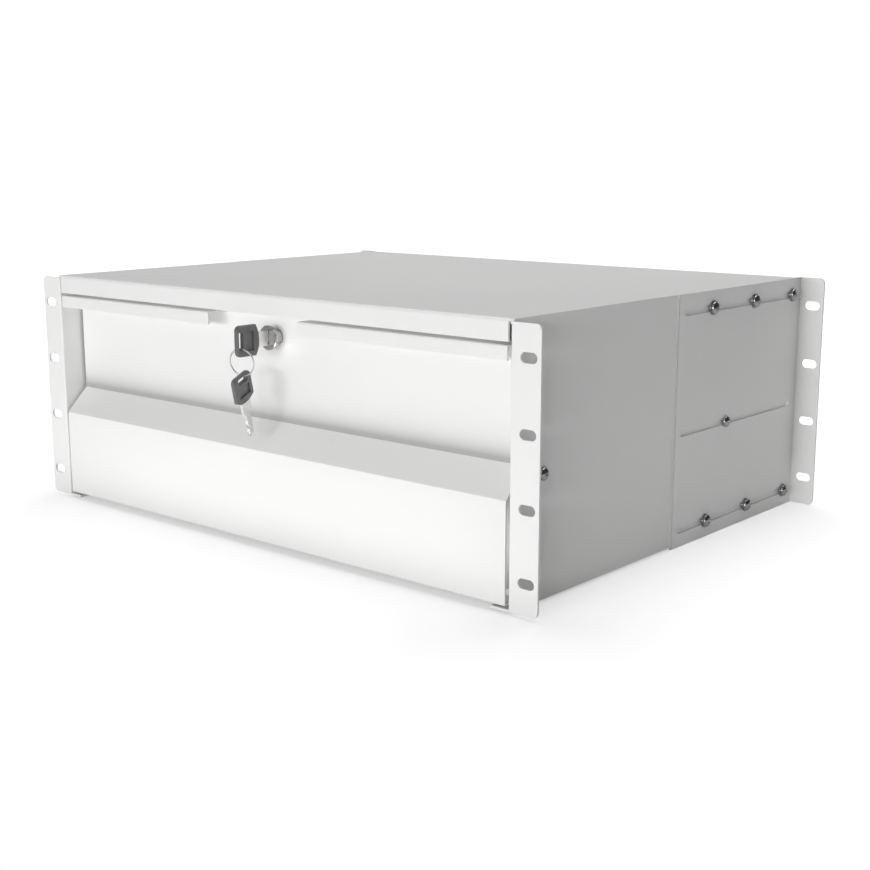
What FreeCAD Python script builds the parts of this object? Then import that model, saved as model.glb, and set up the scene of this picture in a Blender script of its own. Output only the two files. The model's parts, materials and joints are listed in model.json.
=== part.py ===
import FreeCAD, Part
import Sketcher
import enum
import math
import os
from types import SimpleNamespace

# Sliding rack drawer for a 19 inch rack, four units high, with adjustable rear brackets and a cam lock.
# X points right and Z up as seen from the front, and Y points to the back. The origin is the centre of
# the front hole pattern, on the front face of the ears. Lengths are in millimetres, angles in degrees.

DRIVING_SIZES = {
    # Rack standard
    "rack_width": 482.6,
    "rack_unit": 44.45,
    "slot_inset": 8.75,
    "ear_slot_length": 12.0,
    "ear_slot_width": 6.5,
    # Casing
    "casing_sheet": 1.5,
    "casing_height": 172.8,
    "casing_depth": 354.0,
    "ear_width": 20.1,
    "ear_corner": 4.0,
    "side_return": 14.6,
    "bend_inside": 0.6,
    "ear_bend": 1.2,
    "cover_lip_height": 11.8,
    "cover_lip_gap": 1.9,
    "notch_gap": 0.2,
    "cover_rear_lip": 16.0,
    "brace_depth": 30.0,
    "brace_height": 24.0,
    # Rear brackets
    "bracket_depth": 180.0,
    "bracket_reach": 5.5,
    "bracket_ear": 20.3,
    "bracket_slot_front": 7.5,
    "bracket_slot_rear": 12.5,
    "bracket_slot_inset": 10.65,
    "bracket_slot_width": 5.5,
    "slide_slot_width": 4.6,
    # Bracket screws, M5
    "screw_from_front": 44.8,
    "screw_from_rear": 16.1,
    "screw_shank": 5.0,
    "screw_head": 8.8,
    "screw_head_height": 3.0,
    "washer_outside": 10.2,
    "washer_thickness": 1.0,
    "nut_flats": 8.0,
    "nut_height": 3.8,
    "thread_gap": 0.05,
    "hole_gap": 0.15,
    # Slides
    "slide_level": -7.5,
    "slide_start": 21.0,
    "slide_rear_gap": 33.0,
    "slide_height": 45.0,
    "slide_width": 12.7,
    "slide_sheet": 1.2,
    "ball_radius": 1.5,
    "race_gap": 0.08,
    "member_gap": 1.0,
    "race_step_angle": 50.0,
    "race_lip_angle": 25.0,
    "bumper_depth": 8.0,
    "bumper_gap": 0.3,
    "bumper_height": 16.0,
    "cage_from_front": 75.0,
    "cage_from_rear": 74.7,
    "cage_sheet": 0.4,
    "cage_rim": 0.5,
    "cage_hole_gap": 0.1,
    "ball_margin": 12.0,
    # Slide screws, M4
    "slide_screw_from_front": 9.6,
    "slide_screw_from_rear": 72.6,
    "slide_screw_shank": 4.0,
    "slide_screw_head": 8.0,
    "slide_screw_head_height": 3.2,
    "drawer_screw_head": 7.0,
    "drawer_screw_head_height": 2.2,
    "drawer_screw_from_front": 24.0,
    "drawer_screw_from_rear": 27.7,
    "drawer_screw_tip": 1.3,
    # Drawer
    "drawer_sheet": 1.2,
    "front_side_gap": 2.5,
    "front_under_gap": 2.8,
    "front_over_gap": 2.0,
    "recess_depth": 18.0,
    "lower_panel_height": 64.6,
    "ledge_angle": 45.0,
    "front_bend": 1.2,
    "front_return": 16.0,
    "grip_lip_height": 9.0,
    "grip_gap_half": 44.5,
    "box_under_gap": 3.6,
    "box_over_gap": 10.6,
    "box_rear_gap": 21.0,
    "box_return": 15.0,
    "box_hem": 8.0,
    "stud_from_side": 57.0,
    "stud_over_ledge": 13.0,
    "stud_under_top": 16.0,
    "stud_diameter": 4.0,
    "stud_length": 9.0,
    "stud_nut_flats": 7.0,
    "stud_nut_height": 3.2,
    # Lock
    "lock_across": 6.6,
    "lock_under_top": 14.7,
    "lock_sunk": 9.6,
    "lock_head": 17.0,
    "lock_head_thickness": 1.3,
    "barrel_diameter": 9.8,
    "barrel_past_box": 10.6,
    "plug_diameter": 7.8,
    "running_gap": 0.06,
    "lock_nut_flats": 15.0,
    "lock_nut_height": 3.6,
    "tail_side": 5.0,
    "cam_sheet": 1.6,
    "cam_gap": 0.2,
    "cam_reach": 18.5,
    "cam_width": 11.0,
    "cam_screw_head": 7.4,
    "cam_screw_head_height": 1.8,
    "cam_screw_shank": 2.6,
    "cam_screw_length": 4.5,
    "strike_gap": 1.4,
    "strike_over_front": 4.0,
    "strike_width": 46.0,
    "strike_flange": 14.0,
    # Keys
    "bow_start": 0.1,
    "shoulder_gap": 0.3,
    "bow_length": 19.9,
    "bow_width": 21.0,
    "bow_thickness": 3.6,
    "bow_corner": 3.6,
    "bow_bulge": 3.0,
    "bow_edge": 0.7,
    "bow_slot_from_end": 1.5,
    "bow_slot_width": 4.2,
    "bow_slot_corner": 0.9,
    "bow_slot_length": 12.0,
    "bow_panel_from_end": 7.9,
    "bow_panel_length": 7.1,
    "bow_panel_width": 13.2,
    "bow_panel_depth": 1.3,
    "tang_length": 3.6,
    "tang_width": 7.0,
    "blade_thickness": 2.0,
    "shoulder_width": 10.0,
    "blade_width": 5.6,
    "blade_in_lock": 17.6,
    "blade_tip": 2.6,
    "bitting_pitch": 3.2,
    "bitting_depth": 1.3,
    "shallow_bitting_depth": 1.0,
    "keyway_gap": 0.15,
    "keyway_end_gap": 0.6,
    "ring_radius": 9.15,
    "ring_wire": 1.2,
    "ring_seat_gap": 0.08,
    "ring_twist": 17.0,
    "ring_tilt": 7.6,
    "spare_key_tilt": 16.0,
}

RIGHT = 1
LEFT = -1
EAR_SLOTS = 4
SCREW_COLUMNS = 3
SCREW_ROWS = 2
BALL_COUNT = 3
DRAWER_SCREWS = 3
BITTING_CUTS = 4
HEX_CORNERS = 6
HEAD_BEVEL = 1 / 3
WIRE_SIDES = 8
BALL_SIDES = 8
FACET = 360 / BALL_SIDES
CAP_NARROWING = math.degrees(math.atan(math.cos(math.radians(FACET / 2))))

doc = FreeCAD.newDocument("rack_drawer")
sheet = doc.addObject("Spreadsheet::Sheet", "Sizes")
for row, (alias, value) in enumerate(DRIVING_SIZES.items(), start=1):
    sheet.set(f"A{row}", alias)
    sheet.set(f"B{row}", str(value))
    sheet.setAlias(f"B{row}", alias)
doc.recompute()


class Size:
    """A length, angle or ratio: its number, and the sheet expression that gives it."""

    def __init__(self, value, text):
        self.value = float(value)
        self.text = text

    def __add__(self, other):
        return Size(self.value + number(other), f"({self.text} + {words(other)})")

    def __radd__(self, other):
        return Size(number(other) + self.value, f"({words(other)} + {self.text})")

    def __sub__(self, other):
        return Size(self.value - number(other), f"({self.text} - {words(other)})")

    def __rsub__(self, other):
        return Size(number(other) - self.value, f"({words(other)} - {self.text})")

    def __mul__(self, other):
        return Size(self.value * number(other), f"({self.text} * {words(other)})")

    def __rmul__(self, other):
        return Size(number(other) * self.value, f"({words(other)} * {self.text})")

    def __truediv__(self, other):
        return Size(self.value / number(other), f"({self.text} / {words(other)})")

    def __neg__(self):
        return Size(-self.value, f"(-1 * {self.text})")


def number(size):
    return size.value if isinstance(size, Size) else float(size)


def words(size):
    return size.text if isinstance(size, Size) else f"({float(size)})"


def sine(angle):
    return Size(math.sin(math.radians(number(angle))), f"sin({words(angle)})")


def cosine(angle):
    return Size(math.cos(math.radians(number(angle))), f"cos({words(angle)})")


def tangent(angle):
    return Size(math.tan(math.radians(number(angle))), f"tan({words(angle)})")


def root(size):
    return Size(math.sqrt(number(size)), f"sqrt({words(size)})")


s = SimpleNamespace(**{alias: Size(sheet.get(alias), f"Sizes.{alias}") for alias in DRIVING_SIZES})

# Shared places, worked out from the driving sizes

ear_edge = s.rack_width / 2
slot_centre = ear_edge - s.slot_inset
wall_outside = ear_edge - s.ear_width
wall_inside = wall_outside - s.casing_sheet
casing_top = s.casing_height / 2
cover_top = casing_top + s.casing_sheet
cover_lip_bottom = casing_top - s.cover_lip_height
bend_outside = s.bend_inside + s.casing_sheet
bracket_face = wall_outside + s.casing_sheet
bracket_end = s.casing_depth + s.bracket_reach
bracket_start = bracket_end - s.bracket_depth
bracket_slot_level = casing_top - s.bracket_slot_inset
screw_first = bracket_start + s.screw_from_front
screw_run = bracket_end - s.screw_from_rear - screw_first
slide_end = s.casing_depth - s.slide_rear_gap
slide_length = slide_end - s.slide_start
slide_screw_front = s.slide_start + s.slide_screw_from_front
slide_screw_rear = slide_end - s.slide_screw_from_rear
member_length = slide_length - s.bumper_depth - s.bumper_gap
member_end = s.slide_start + member_length
cage_start = s.slide_start + s.cage_from_front
cage_length = member_length - s.cage_from_front - s.cage_from_rear
drawer_screw_first = s.slide_start + s.drawer_screw_from_front
drawer_screw_run = member_end - s.drawer_screw_from_rear - drawer_screw_first
drawer_screw_step = drawer_screw_run / (DRAWER_SCREWS - 1)
drawer_screw_places = [drawer_screw_first + drawer_screw_step * screw for screw in range(DRAWER_SCREWS)]
drawer_wall = wall_inside - s.slide_width
box_inside = drawer_wall - s.drawer_sheet
box_front = s.recess_depth + s.drawer_sheet
box_front_back = box_front + s.drawer_sheet
box_back = s.casing_depth - s.box_rear_gap
front_half = wall_inside - s.front_side_gap
front_bottom = s.front_under_gap - casing_top
front_top = cover_lip_bottom - s.front_over_gap
ledge_front = front_bottom + s.lower_panel_height
ledge_back = ledge_front + s.recess_depth * tangent(s.ledge_angle)
box_bottom = front_bottom + s.box_under_gap
box_top = front_top - s.box_over_gap
floor_under = box_bottom + s.drawer_sheet
lock_level = front_top - s.lock_under_top
lock_face = s.recess_depth - s.lock_sunk
barrel_end = box_front_back + s.barrel_past_box
cam_front = barrel_end + s.cam_gap
cam_back = cam_front + s.cam_sheet
strike_back = cam_front - s.strike_gap
strike_bottom = front_top + s.strike_over_front


# Parametric drawing

NORMALS = {"XY_Plane": 1, "XZ_Plane": -1, "YZ_Plane": 1}
SKETCH_ORIGIN = -1
TOUCHING = 1e-6
SAME_EDGE = 1e-4


class Vertex(enum.IntEnum):
    """Which point of a sketch's edge a constraint holds."""

    START = 1
    END = 2
    CENTRE = 3


def origin_feature(body, role):
    return next(feature for feature in body.Origin.OriginFeatures if feature.Role == role)


def new_body(label):
    body = doc.addObject("PartDesign::Body", label)
    body.Label = label
    return body


class Drawing:
    """A sketch on one of its body's origin planes, or at a distance from it, bound to the sheet."""

    def __init__(self, body, plane, at=None):
        self.body = body
        self.facing = NORMALS[plane]
        self.sketch = body.newObject("Sketcher::SketchObject", f"{body.Name}_sketch")
        self.sketch.AttachmentSupport = (origin_feature(body, plane), [""])
        self.sketch.MapMode = "FlatFace"
        if at is not None:
            self.sketch.setExpression(".AttachmentOffset.Base.z", words(self.facing * at))

    def bind(self, constraint, size):
        index = self.sketch.addConstraint(constraint)
        if isinstance(size, Size):
            self.sketch.setExpression(f"Constraints[{index}]", size.text)

    def fix(self, direction, geometry, vertex, size):
        constraint = Sketcher.Constraint(
            direction, SKETCH_ORIGIN, Vertex.START, geometry, vertex, number(size)
        )
        self.bind(constraint, size)

    def circle(self, across, up, radius):
        centre = FreeCAD.Vector(number(across), number(up), 0)
        edge = Part.Circle(centre, FreeCAD.Vector(0, 0, 1), number(radius))
        geometry = self.sketch.addGeometry(edge, False)
        self.fix("DistanceX", geometry, Vertex.CENTRE, across)
        self.fix("DistanceY", geometry, Vertex.CENTRE, up)
        self.bind(Sketcher.Constraint("Radius", geometry, number(radius)), radius)

    def outline(self, path):
        """Closes a path of points (across, up) and arcs (across, up, radius, start, end) in order."""
        joints = [piece_ends(piece) for piece in path]
        edges = []
        for place, piece in enumerate(path):
            if len(piece) == 5:
                edges.append(self.add_arc(piece))
            following = joints[(place + 1) % len(path)][0]
            here = joints[place][1]
            if apart(here, following):
                edges.append(self.add_line(here, following))
        for place, edge in enumerate(edges):
            self.join(edge, edges[(place + 1) % len(edges)])

    def add_line(self, here, there):
        ends = [FreeCAD.Vector(number(x), number(y), 0) for x, y in (here, there)]
        geometry = self.sketch.addGeometry(Part.LineSegment(*ends), False)
        return SimpleNamespace(geometry=geometry, arc=False, first=Vertex.START, last=Vertex.END, end=there)

    def add_arc(self, piece):
        across, up, radius, start, end = piece
        clockwise = number(end) < number(start)
        low, high = (end, start) if clockwise else (start, end)
        centre = FreeCAD.Vector(number(across), number(up), 0)
        circle = Part.Circle(centre, FreeCAD.Vector(0, 0, 1), number(radius))
        sweep = [math.radians(number(angle)) for angle in (low, high)]
        geometry = self.sketch.addGeometry(Part.ArcOfCircle(circle, *sweep), False)
        self.fix("DistanceX", geometry, Vertex.CENTRE, across)
        self.fix("DistanceY", geometry, Vertex.CENTRE, up)
        first, last = (Vertex.END, Vertex.START) if clockwise else (Vertex.START, Vertex.END)
        _, finish = piece_ends(piece)
        return SimpleNamespace(
            geometry=geometry, arc=True, first=first, last=last, end=finish,
            radius=radius, start_angle=start, end_angle=end, sized=False,
        )

    def join(self, edge, following):
        """Joins two edges end to start, and fixes the point where they meet."""
        self.sketch.addConstraint(
            Sketcher.Constraint(
                "Coincident", edge.geometry, edge.last, following.geometry, following.first
            )
        )
        across, up = edge.end
        if not edge.arc and not following.arc:
            self.fix("DistanceX", edge.geometry, edge.last, across)
            self.fix("DistanceY", edge.geometry, edge.last, up)
            return
        arc = edge if edge.arc else following
        if not arc.sized:
            self.bind(Sketcher.Constraint("Radius", arc.geometry, number(arc.radius)), arc.radius)
            arc.sized = True
        if edge.arc and following.arc:
            # Where two arcs meet, the first one's size and the shared point settle the second
            following.sized = True
        angle = math.radians(number(edge.end_angle if edge.arc else following.start_angle))
        if abs(math.sin(angle)) > abs(math.cos(angle)):
            self.fix("DistanceX", edge.geometry, edge.last, across)
        else:
            self.fix("DistanceY", edge.geometry, edge.last, up)

    def rectangle(self, left, right, low, high):
        self.outline([(left, low), (right, low), (right, high), (left, high)])

    def slot_across(self, across, up, length, width):
        """A round-ended slot along the sketch's first axis."""
        reach = (length - width) / 2
        self.outline([(across + reach, up, width / 2, -90, 90), (across - reach, up, width / 2, 90, 270)])

    def rounded_slot(self, across, up, width, height, corner):
        """A rectangle with rounded corners about its centre."""
        reach, rise = width / 2 - corner, height / 2 - corner
        self.outline([
            (across + reach, up + rise, corner, 0, 90), (across - reach, up + rise, corner, 90, 180),
            (across - reach, up - rise, corner, 180, 270), (across + reach, up - rise, corner, 270, 360),
        ])

    def polygon(self, across, up, radius, sides, first=0):
        """A regular outline about its centre: radius to the corners, the first one at an angle."""
        turns = [first + 360 / sides * corner for corner in range(sides)]
        self.outline([(across + radius * cosine(turn), up + radius * sine(turn)) for turn in turns])

    def hexagon(self, across, up, flats):
        self.polygon(across, up, flats / (2 * cosine(180 / HEX_CORNERS)), HEX_CORNERS)

    def feature(self, kind, toward):
        made = self.body.newObject(kind, f"{self.body.Name}_{kind.split('::')[1].lower()}")
        made.Profile = self.sketch
        self.sketch.Visibility = False
        made.Reversed = toward != self.facing
        return made

    def pad(self, length, toward=1, narrowing=0):
        made = self.feature("PartDesign::Pad", toward)
        made.setExpression("Length", words(length))
        made.TaperAngle = -narrowing
        return finished(self.body, made)

    def pad_both_ways(self, length):
        made = self.feature("PartDesign::Pad", self.facing)
        made.SideType = "Symmetric"
        made.setExpression("Length", words(length))
        return finished(self.body, made)

    def pocket(self, length, toward=1):
        before = self.body.Shape.Volume
        made = self.feature("PartDesign::Pocket", -toward)
        made.setExpression("Length", words(length))
        return removed(self.body, made, before)

    def pocket_through(self):
        before = self.body.Shape.Volume
        made = self.feature("PartDesign::Pocket", self.facing)
        made.Type = "ThroughAll"
        made.SideType = "Symmetric"
        return removed(self.body, made, before)

    def revolve(self, axis):
        made = self.feature("PartDesign::Revolution", self.facing)
        made.ReferenceAxis = (origin_feature(self.body, axis), [""])
        made.Angle = 360
        return finished(self.body, made)


def piece_ends(piece):
    """The first and last point of a piece of an outline."""
    if len(piece) == 2:
        return piece, piece
    across, up, radius, start, end = piece
    return tuple(
        (across + radius * cosine(angle), up + radius * sine(angle)) for angle in (start, end)
    )


def apart(one, other):
    return any(abs(number(a) - number(b)) > TOUCHING for a, b in zip(one, other))


def finished(body, made):
    body.Tip = made
    doc.recompute()
    return made


def removed(body, made, before):
    finished(body, made)
    if not made.Shape.Volume < before:
        raise ValueError(f"{made.Name} removes nothing")
    return made


def pattern(body, originals, first, second=None):
    """Repeats features: first and second are (axis, number of copies, distance over all of them)."""
    made = body.newObject("PartDesign::LinearPattern", f"{body.Name}_pattern")
    made.Originals = originals
    axis, count, length = first
    made.Direction = (origin_feature(body, axis), [""])
    made.Occurrences = count
    made.setExpression("Length", words(length))
    if second:
        axis, count, length = second
        made.Direction2 = (origin_feature(body, axis), [""])
        made.Occurrences2 = count
        made.setExpression("Length2", words(length))
    return finished(body, made)


def mirror(body, originals, plane):
    made = body.newObject("PartDesign::Mirrored", f"{body.Name}_mirrored")
    made.Originals = originals
    made.MirrorPlane = (origin_feature(body, plane), [""])
    return finished(body, made)


def edges_along(shape, axis, first, second):
    """Names of the straight edges along X, Y or Z (0, 1, 2) that pass the point in the other two."""
    others = [direction for direction in range(3) if direction != axis]
    wanted = (number(first), number(second))
    found = []
    for place, edge in enumerate(shape.Edges, start=1):
        points = [vertex.Point for vertex in edge.Vertexes]
        near = all(abs(p[others[i]] - wanted[i]) < SAME_EDGE for p in points for i in range(2))
        if len(points) == 2 and near and abs(points[0][axis] - points[1][axis]) > SAME_EDGE:
            found.append(f"Edge{place}")
    return found


def round_off(body, radius, lines):
    """Rounds the edges named by lines, each of them (axis, first coordinate, second coordinate)."""
    shape = body.Tip.Shape
    names = [name for line in lines for name in edges_along(shape, *line)]
    if len(names) < len(lines):
        raise ValueError(f"{body.Name} has no edge on one of {[[number(x) for x in line] for line in lines]}")
    return fillet(body, radius, names)


def fillet(body, radius, names):
    base = body.Tip
    made = body.newObject("PartDesign::Fillet", f"{body.Name}_fillet")
    made.Base = (base, names)
    made.setExpression("Radius", words(radius))
    return finished(body, made)


def place(part, across=0, along=0, up=0, turn=None):
    """Moves a sub-part: turn is a rotation about its own origin."""
    part.Placement = FreeCAD.Placement(FreeCAD.Vector(0, 0, 0), turn or FreeCAD.Rotation())
    for axis, size in (("x", across), ("y", along), ("z", up)):
        part.setExpression(f".Placement.Base.{axis}", words(size))


def half_turn_for(side):
    """Parts are drawn for the right-hand side; a half turn about Y makes them face the other way."""
    return FreeCAD.Rotation(FreeCAD.Vector(0, 1, 0), 0 if side == RIGHT else 180)


# Casing

def side_panel(side):
    body = new_body("side_panel_right" if side == RIGHT else "side_panel_left")
    tip = side * (wall_outside - s.side_return)
    inner, outer = side * wall_inside, side * wall_outside
    low, high = -casing_top, casing_top
    section = Drawing(body, "XZ_Plane")
    section.outline([
        (outer, low), (outer, high),
        (tip, high), (tip, high - s.casing_sheet), (inner, high - s.casing_sheet),
        (inner, low + s.casing_sheet), (tip, low + s.casing_sheet), (tip, low),
    ])
    section.pad(s.casing_depth)
    ear = Drawing(body, "XZ_Plane")
    ear.rectangle(inner, side * ear_edge, low, high)
    ear.pad(s.casing_sheet)
    round_off(body, s.ear_corner, [(1, side * ear_edge, low), (1, side * ear_edge, high)])
    round_off(body, s.ear_bend, [(2, inner, 0)])
    slot = Drawing(body, "XZ_Plane", s.casing_sheet)
    slot.slot_across(
        side * slot_centre, -s.rack_unit * (EAR_SLOTS - 1) / 2, s.ear_slot_length, s.ear_slot_width
    )
    cut = slot.pocket(s.casing_sheet, toward=-1)
    pattern(body, [cut], ("Z_Axis", EAR_SLOTS, s.rack_unit * (EAR_SLOTS - 1)))
    slide_holes = Drawing(body, "YZ_Plane")
    for along in (slide_screw_front, slide_screw_rear):
        slide_holes.circle(along, s.slide_level, s.slide_screw_shank / 2 + s.hole_gap)
    slide_holes.pocket_through()
    nut_hole = Drawing(body, "YZ_Plane")
    nut_hole.circle(screw_first, -bracket_slot_level, s.screw_shank / 2 + s.hole_gap)
    cut = nut_hole.pocket_through()
    pattern(
        body, [cut],
        ("Y_Axis", SCREW_COLUMNS, screw_run),
        ("Z_Axis", SCREW_ROWS, bracket_slot_level * 2),
    )
    lip_notch = Drawing(body, "XY_Plane", high)
    behind_lip = bend_outside + s.notch_gap
    lip_notch.rectangle(tip - side * s.notch_gap, inner, -s.casing_sheet, behind_lip)
    lip_notch.pocket(high - cover_lip_bottom, toward=-1)
    round_off(body, s.bend_inside, [(2, outer, s.casing_sheet)])
    return body


def top_cover():
    body = new_body("top_cover")
    lip_half = wall_inside - s.cover_lip_gap
    rear_half = wall_outside - s.side_return - s.bend_inside
    plate = Drawing(body, "XY_Plane", casing_top)
    plate.rectangle(-wall_outside, wall_outside, 0, s.casing_depth)
    plate.pad(s.casing_sheet)
    lip = Drawing(body, "XZ_Plane")
    lip.rectangle(-lip_half, lip_half, cover_lip_bottom, casing_top)
    lip.pad(s.casing_sheet)
    rear_lip = Drawing(body, "XZ_Plane", s.casing_depth)
    rear_lip.rectangle(-rear_half, rear_half, casing_top - s.cover_rear_lip, casing_top)
    rear_lip.pad(s.casing_sheet, toward=-1)
    round_off(body, bend_outside, [(0, 0, cover_top)])
    round_off(body, s.bend_inside, [(0, s.casing_sheet, casing_top)])
    return body


def rear_brace():
    body = new_body("rear_brace")
    low = -casing_top + s.casing_sheet
    back = s.casing_depth
    front = back - s.brace_depth
    section = Drawing(body, "YZ_Plane")
    section.outline([
        (front, low), (back, low), (back, low + s.brace_height),
        (back - s.casing_sheet, low + s.brace_height), (back - s.casing_sheet, low + s.casing_sheet),
        (front, low + s.casing_sheet),
    ])
    section.pad_both_ways(wall_inside * 2)
    round_off(body, bend_outside, [(0, back, low)])
    round_off(body, s.bend_inside, [(0, back - s.casing_sheet, low + s.casing_sheet)])
    return body


def lock_strike():
    body = new_body("lock_strike")
    front = strike_back - s.strike_flange
    section = Drawing(body, "YZ_Plane", s.lock_across)
    section.outline([
        (front, casing_top), (front, casing_top - s.casing_sheet),
        (strike_back - s.casing_sheet, casing_top - s.casing_sheet),
        (strike_back - s.casing_sheet, strike_bottom), (strike_back, strike_bottom),
        (strike_back, casing_top),
    ])
    section.pad_both_ways(s.strike_width)
    round_off(body, bend_outside, [(0, strike_back, casing_top)])
    round_off(body, s.bend_inside, [(0, strike_back - s.casing_sheet, casing_top - s.casing_sheet)])
    return body


def pan_head_profile(drawing, seat, tip, shank, head, height):
    """Half a pan head screw about the sketch's first axis, its head outside the seat."""
    bevel = height * HEAD_BEVEL
    drawing.outline([
        (seat - tip, 0), (seat + height, 0), (seat + height, head / 2 - bevel),
        (seat + height - bevel, head / 2), (seat, head / 2), (seat, shank / 2), (seat - tip, shank / 2),
    ])


def bracket_screws(side):
    body = new_body("bracket_screws_right" if side == RIGHT else "bracket_screws_left")
    seat = bracket_face + s.washer_thickness
    tip = seat - wall_inside + s.nut_height
    profile = Drawing(body, "XY_Plane")
    pan_head_profile(profile, seat, tip, s.screw_shank, s.screw_head, s.screw_head_height)
    repeat_in_bracket(body, profile.revolve("X_Axis"), side)
    return body


def bracket_washers(side):
    body = new_body("bracket_washers_right" if side == RIGHT else "bracket_washers_left")
    ring = Drawing(body, "YZ_Plane", bracket_face)
    ring.circle(0, 0, s.washer_outside / 2)
    ring.circle(0, 0, s.screw_shank / 2 + s.hole_gap)
    repeat_in_bracket(body, ring.pad(s.washer_thickness), side)
    return body


def bracket_nuts(side):
    body = new_body("bracket_nuts_right" if side == RIGHT else "bracket_nuts_left")
    nut = Drawing(body, "YZ_Plane", wall_inside)
    nut.hexagon(0, 0, s.nut_flats)
    nut.circle(0, 0, s.screw_shank / 2 + s.thread_gap)
    repeat_in_bracket(body, nut.pad(s.nut_height, toward=-1), side)
    return body


def repeat_in_bracket(body, feature, side):
    """Repeats a fastener in the grid of the bracket's upper and lower slot."""
    pattern(
        body, [feature],
        ("Y_Axis", SCREW_COLUMNS, screw_run),
        ("Z_Axis", SCREW_ROWS, bracket_slot_level * 2),
    )
    place(body, along=screw_first, up=-side * bracket_slot_level, turn=half_turn_for(side))


def slide_case_screws(label, along, seat):
    """The screws that hold the outer slide members, one on each side of the casing."""
    body = new_body(label)
    tip = seat - wall_inside + s.slide_sheet
    profile = Drawing(body, "XY_Plane")
    pan_head_profile(
        profile, seat, tip, s.slide_screw_shank, s.slide_screw_head, s.slide_screw_head_height
    )
    mirror(body, [profile.revolve("X_Axis")], "YZ_Plane")
    place(body, along=along, up=s.slide_level)
    return body


def rear_bracket(side):
    body = new_body("rear_bracket_right" if side == RIGHT else "rear_bracket_left")
    inner, outer = side * wall_outside, side * bracket_face
    ear = side * (wall_outside + s.bracket_ear)
    section = Drawing(body, "XY_Plane", -cover_top)
    section.outline([
        (inner, bracket_start), (outer, bracket_start), (outer, bracket_end - s.casing_sheet),
        (ear, bracket_end - s.casing_sheet), (ear, bracket_end), (inner, bracket_end),
    ])
    section.pad(cover_top * 2)
    round_off(body, s.ear_corner, [(1, ear, -cover_top), (1, ear, cover_top)])
    round_off(body, s.bend_inside, [(2, outer, bracket_end - s.casing_sheet)])
    round_off(body, bend_outside, [(2, inner, bracket_end)])
    slot = Drawing(body, "XZ_Plane", bracket_end)
    slot.slot_across(
        side * slot_centre, -s.rack_unit * (EAR_SLOTS - 1) / 2, s.ear_slot_length, s.ear_slot_width
    )
    cut = slot.pocket(s.casing_sheet, toward=-1)
    pattern(body, [cut], ("Z_Axis", EAR_SLOTS, s.rack_unit * (EAR_SLOTS - 1)))
    long_slots = Drawing(body, "YZ_Plane")
    long_slot_start = bracket_start + s.bracket_slot_front
    long_slot_end = bracket_end - s.bracket_slot_rear
    middle = (long_slot_start + long_slot_end) / 2
    length = long_slot_end - long_slot_start
    for level in (-bracket_slot_level, bracket_slot_level):
        long_slots.slot_across(middle, level, length, s.bracket_slot_width)
    long_slots.slot_across(middle, s.slide_level, length, s.slide_slot_width)
    long_slots.pocket_through()
    return body


# Slides, drawn in their own section: the first axis runs from the casing wall towards the drawer,
# and the second up from the slide's middle. A ball row lies where two rolled raceways face each other.

race = s.ball_radius + s.race_gap
race_back = race + s.slide_sheet
outer_row = (s.slide_sheet + s.member_gap + s.slide_sheet + race, s.slide_height / 2 - race_back)
row_step = race + race_back
inner_row = (
    outer_row[0] + row_step * cosine(s.race_step_angle),
    outer_row[1] - row_step * sine(s.race_step_angle),
)
lip_rise = race * sine(s.race_lip_angle)
lip_back_rise = race_back * sine(s.race_lip_angle)


def mirrored_down(path):
    """The lower half of a section that is symmetric about its first axis."""
    lower = []
    for piece in reversed(path):
        if len(piece) == 2:
            lower.append((piece[0], -piece[1]))
        else:
            across, up, radius, start, end = piece
            lower.append((across, -up, radius, -end, -start))
    return lower


def slide_body(label, side, upper, start, length):
    """A member of a slide: upper is the half of its section above the slide's middle."""
    body = new_body(label)
    profile = Drawing(body, "XZ_Plane", start)
    profile.outline(upper + mirrored_down(upper))
    profile.pad(length)
    place(body, across=side * wall_inside, up=s.slide_level, turn=slide_turn(side))
    return body


def slide_turn(side):
    """The section's first axis points inwards, to the left on the right-hand side."""
    return FreeCAD.Rotation(FreeCAD.Vector(0, 1, 0), 180 if side == RIGHT else 0)


def side_name(label, side):
    return f"{label}_right" if side == RIGHT else f"{label}_left"


def slide_outer(side):
    """The channel on the casing wall: its edges curl over the outer ball rows."""
    across, up = outer_row
    shoulder = up + lip_rise
    top = shoulder + s.slide_sheet
    reach = across - root(race_back * race_back - (top - up) * (top - up))
    upper = [
        (0, top), (reach, top),
        (across, up, race_back, 180 - arc_angle(top - up, race_back), s.race_lip_angle),
        (across, up, race, s.race_lip_angle, 180 - s.race_lip_angle),
        (s.slide_sheet, shoulder),
    ]
    body = slide_body(side_name("slide_outer", side), side, upper, s.slide_start, slide_length)
    drill_web(body, [slide_screw_front, slide_screw_rear], s.slide_screw_shank / 2 + s.thread_gap)
    return body


def arc_angle(rise, radius):
    """The angle whose sine is rise over radius."""
    ratio = rise / radius
    return Size(math.degrees(math.asin(number(ratio))), f"(asin({words(ratio)}) / (1 deg))")


def slide_mid(side):
    """The middle channel: an S-shaped edge with a raceway over and one under it."""
    across, up = outer_row
    near, low = inner_row
    web = s.slide_sheet + s.member_gap
    crossing = -s.race_step_angle
    shoulder = up - lip_rise
    inside = web + s.slide_sheet
    drop = root(race_back * race_back - race * race)
    upper = [
        (web, shoulder), (across, up, race, 180 + s.race_lip_angle, 360 + crossing),
        (near, low, race_back, 180 + crossing, s.race_lip_angle),
        (near, low, race, s.race_lip_angle, 180 + crossing),
        (across, up, race_back, 360 + crossing, 270 - arc_angle(race, race_back)),
        (inside, up - drop),
    ]
    return slide_body(side_name("slide_mid", side), side, upper, s.slide_start, member_length)


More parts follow.
